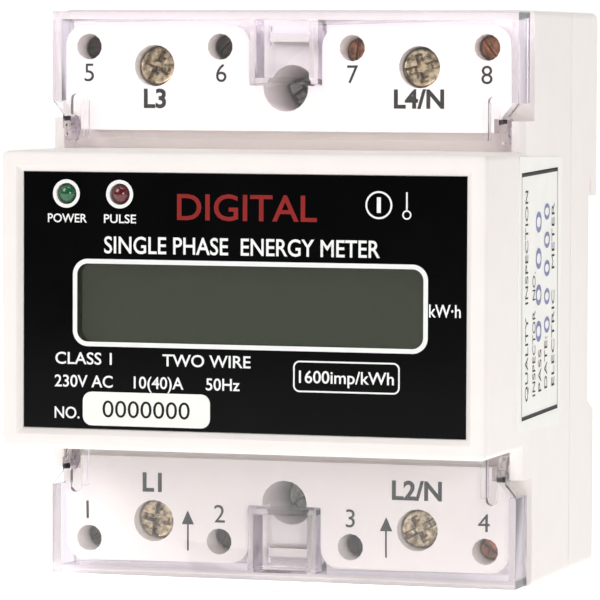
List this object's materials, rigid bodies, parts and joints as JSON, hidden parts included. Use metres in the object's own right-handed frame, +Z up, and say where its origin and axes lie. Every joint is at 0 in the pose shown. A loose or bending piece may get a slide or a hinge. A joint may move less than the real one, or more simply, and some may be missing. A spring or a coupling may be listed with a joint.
{
  "type": "electricity meter",
  "caption": "DIN-rail single-phase energy meter with a display nose, screw-clamp terminals, hinged clear terminal covers and a sprung rail clip.",
  "frame": {"origin": "centre of the rail seat, the flat floor of the rear notch, midway across the width", "axes": "+X to the right of someone facing the display, +Y to the rear into the rail, +Z up"},
  "size_m": [0.0761, 0.0682, 0.0896],
  "materials": {
    "housing_white": "fine satin moulded warm-white flame-retardant plastic",
    "insulator_plastic": "matt moulded insulator plastic",
    "clip_grey": "satin moulded nylon",
    "clear_cover": "clear glossy polycarbonate",
    "black_film": "gloss black printed polyester film",
    "clear_window": "clear glossy polycarbonate",
    "label_paper": "satin coated label stock",
    "lcd_glass": "olive grey liquid crystal glass behind a polariser",
    "diffuser_white": "milky diffusing acrylic",
    "led_green": "tinted epoxy",
    "led_red": "tinted epoxy",
    "nickel_screw": "nickel plated steel with a warm tarnish",
    "dark_screw": "blackened steel",
    "copper_screw": "copper flashed steel",
    "zinc_steel": "zinc plated steel",
    "spring_steel": "drawn spring wire",
    "copper_bar": "rolled copper strip",
    "shunt_alloy": "brushed copper manganese alloy",
    "brass_socket": "machined brass",
    "board_green": "green solder mask on glass epoxy",
    "component_black": "matt moulded epoxy",
    "capacitor_red": "gloss moulded case",
    "capacitor_sleeve": "shrink sleeve",
    "varistor_blue": "dipped epoxy"
  },
  "bodies": {
    "housing": {"base_housing": "housing_white", "front_case": "housing_white", "clip_spring": "spring_steel", "nameplate_film": "black_film", "display_window": "clear_window", "serial_label": "label_paper", "side_label": "label_paper", "upper_case_screw": "zinc_steel", "lower_case_screw": "zinc_steel", "upper_terminal_block": "insulator_plastic", "lower_terminal_block": "insulator_plastic", "auxiliary_1_socket": "brass_socket", "auxiliary_2_socket": "brass_socket", "auxiliary_3_socket": "brass_socket", "auxiliary_4_socket": "brass_socket", "auxiliary_5_socket": "brass_socket", "auxiliary_6_socket": "brass_socket", "auxiliary_7_socket": "brass_socket", "auxiliary_8_socket": "brass_socket", "line_in_bar": "copper_bar", "line_out_bar": "copper_bar", "shunt_element": "shunt_alloy", "neutral_bar": "copper_bar", "lcd_panel": "lcd_glass", "backlight_panel": "diffuser_white", "power_led": "led_green", "pulse_led": "led_red", "display_board": "board_green", "main_board": "board_green", "board_header": "component_black", "dropper_capacitor": "capacitor_red", "smoothing_capacitor": "capacitor_sleeve", "surge_varistor": "varistor_blue", "metering_chip": "component_black", "microcontroller": "component_black", "pulse_optocoupler": "diffuser_white", "clock_crystal": "zinc_steel"},
    "din_clip": {"din_clip": "clip_grey"},
    "upper_cover": {"upper_terminal_cover": "clear_cover"},
    "lower_cover": {"lower_terminal_cover": "clear_cover"},
    "line_in_screw": {"line_in_screw": "nickel_screw"},
    "line_in_cage": {"line_in_cage": "zinc_steel"},
    "neutral_in_screw": {"neutral_in_screw": "nickel_screw"},
    "neutral_in_cage": {"neutral_in_cage": "zinc_steel"},
    "line_out_screw": {"line_out_screw": "nickel_screw"},
    "line_out_cage": {"line_out_cage": "zinc_steel"},
    "neutral_out_screw": {"neutral_out_screw": "nickel_screw"},
    "neutral_out_cage": {"neutral_out_cage": "zinc_steel"},
    "auxiliary_1_screw": {"auxiliary_1_screw": "dark_screw"},
    "auxiliary_2_screw": {"auxiliary_2_screw": "dark_screw"},
    "auxiliary_3_screw": {"auxiliary_3_screw": "dark_screw"},
    "auxiliary_4_screw": {"auxiliary_4_screw": "copper_screw"},
    "auxiliary_5_screw": {"auxiliary_5_screw": "dark_screw"},
    "auxiliary_6_screw": {"auxiliary_6_screw": "dark_screw"},
    "auxiliary_7_screw": {"auxiliary_7_screw": "copper_screw"},
    "auxiliary_8_screw": {"auxiliary_8_screw": "copper_screw"}
  },
  "joints": [
    {"name": "upper_cover_hinge", "type": "hinge", "parent": "housing", "child": "upper_cover", "pos_m": [0, -0.0402, 0.0256], "axis": [1, 0, 0], "range_deg": [0, 90]},
    {"name": "lower_cover_hinge", "type": "hinge", "parent": "housing", "child": "lower_cover", "pos_m": [0, -0.0402, -0.0256], "axis": [-1, 0, 0], "range_deg": [0, 90]},
    {"name": "din_clip_slide", "type": "slide", "parent": "housing", "child": "din_clip", "axis": [0, 0, -1], "range_m": [0, 0.004], "stiffness_N_per_m": 600, "springref_m": -0.006, "deforming": ["clip_spring"]},
    {"name": "line_in_screw_turn", "type": "hinge", "parent": "housing", "child": "line_in_screw", "pos_m": [-0.0213, -0.036, -0.0354], "axis": [0, 1, 0], "range_deg": [0, 2701]},
    {"name": "line_in_cage_lift", "type": "slide", "parent": "housing", "child": "line_in_cage", "axis": [0, -1, 0], "range_m": [0, 0.00525]},
    {"name": "neutral_in_screw_turn", "type": "hinge", "parent": "housing", "child": "neutral_in_screw", "pos_m": [0.0213, -0.036, -0.0354], "axis": [0, 1, 0], "range_deg": [0, 2701]},
    {"name": "neutral_in_cage_lift", "type": "slide", "parent": "housing", "child": "neutral_in_cage", "axis": [0, -1, 0], "range_m": [0, 0.00525]},
    {"name": "line_out_screw_turn", "type": "hinge", "parent": "housing", "child": "line_out_screw", "pos_m": [-0.0213, -0.036, 0.0354], "axis": [0, 1, 0], "range_deg": [0, 2701]},
    {"name": "line_out_cage_lift", "type": "slide", "parent": "housing", "child": "line_out_cage", "axis": [0, -1, 0], "range_m": [0, 0.00525]},
    {"name": "neutral_out_screw_turn", "type": "hinge", "parent": "housing", "child": "neutral_out_screw", "pos_m": [0.0213, -0.036, 0.0354], "axis": [0, 1, 0], "range_deg": [0, 2701]},
    {"name": "neutral_out_cage_lift", "type": "slide", "parent": "housing", "child": "neutral_out_cage", "axis": [0, -1, 0], "range_m": [0, 0.00525]},
    {"name": "auxiliary_1_screw_turn", "type": "hinge", "parent": "housing", "child": "auxiliary_1_screw", "pos_m": [-0.032, -0.036, -0.03835], "axis": [0, 1, 0], "range_deg": [0, 1080]},
    {"name": "auxiliary_2_screw_turn", "type": "hinge", "parent": "housing", "child": "auxiliary_2_screw", "pos_m": [-0.0106, -0.036, -0.03835], "axis": [0, 1, 0], "range_deg": [0, 1080]},
    {"name": "auxiliary_3_screw_turn", "type": "hinge", "parent": "housing", "child": "auxiliary_3_screw", "pos_m": [0.0106, -0.036, -0.03835], "axis": [0, 1, 0], "range_deg": [0, 1080]},
    {"name": "auxiliary_4_screw_turn", "type": "hinge", "parent": "housing", "child": "auxiliary_4_screw", "pos_m": [0.032, -0.036, -0.03835], "axis": [0, 1, 0], "range_deg": [0, 1080]},
    {"name": "auxiliary_5_screw_turn", "type": "hinge", "parent": "housing", "child": "auxiliary_5_screw", "pos_m": [-0.032, -0.036, 0.03835], "axis": [0, 1, 0], "range_deg": [0, 1080]},
    {"name": "auxiliary_6_screw_turn", "type": "hinge", "parent": "housing", "child": "auxiliary_6_screw", "pos_m": [-0.0106, -0.036, 0.03835], "axis": [0, 1, 0], "range_deg": [0, 1080]},
    {"name": "auxiliary_7_screw_turn", "type": "hinge", "parent": "housing", "child": "auxiliary_7_screw", "pos_m": [0.0106, -0.036, 0.03835], "axis": [0, 1, 0], "range_deg": [0, 1080]},
    {"name": "auxiliary_8_screw_turn", "type": "hinge", "parent": "housing", "child": "auxiliary_8_screw", "pos_m": [0.032, -0.036, 0.03835], "axis": [0, 1, 0], "range_deg": [0, 1080]}
  ],
  "couplings": [
    {"joint": "line_in_screw_turn", "follows": "line_in_cage_lift", "rad_per_m": 8976},
    {"joint": "neutral_in_screw_turn", "follows": "neutral_in_cage_lift", "rad_per_m": 8976},
    {"joint": "line_out_screw_turn", "follows": "line_out_cage_lift", "rad_per_m": 8976},
    {"joint": "neutral_out_screw_turn", "follows": "neutral_out_cage_lift", "rad_per_m": 8976}
  ]
}
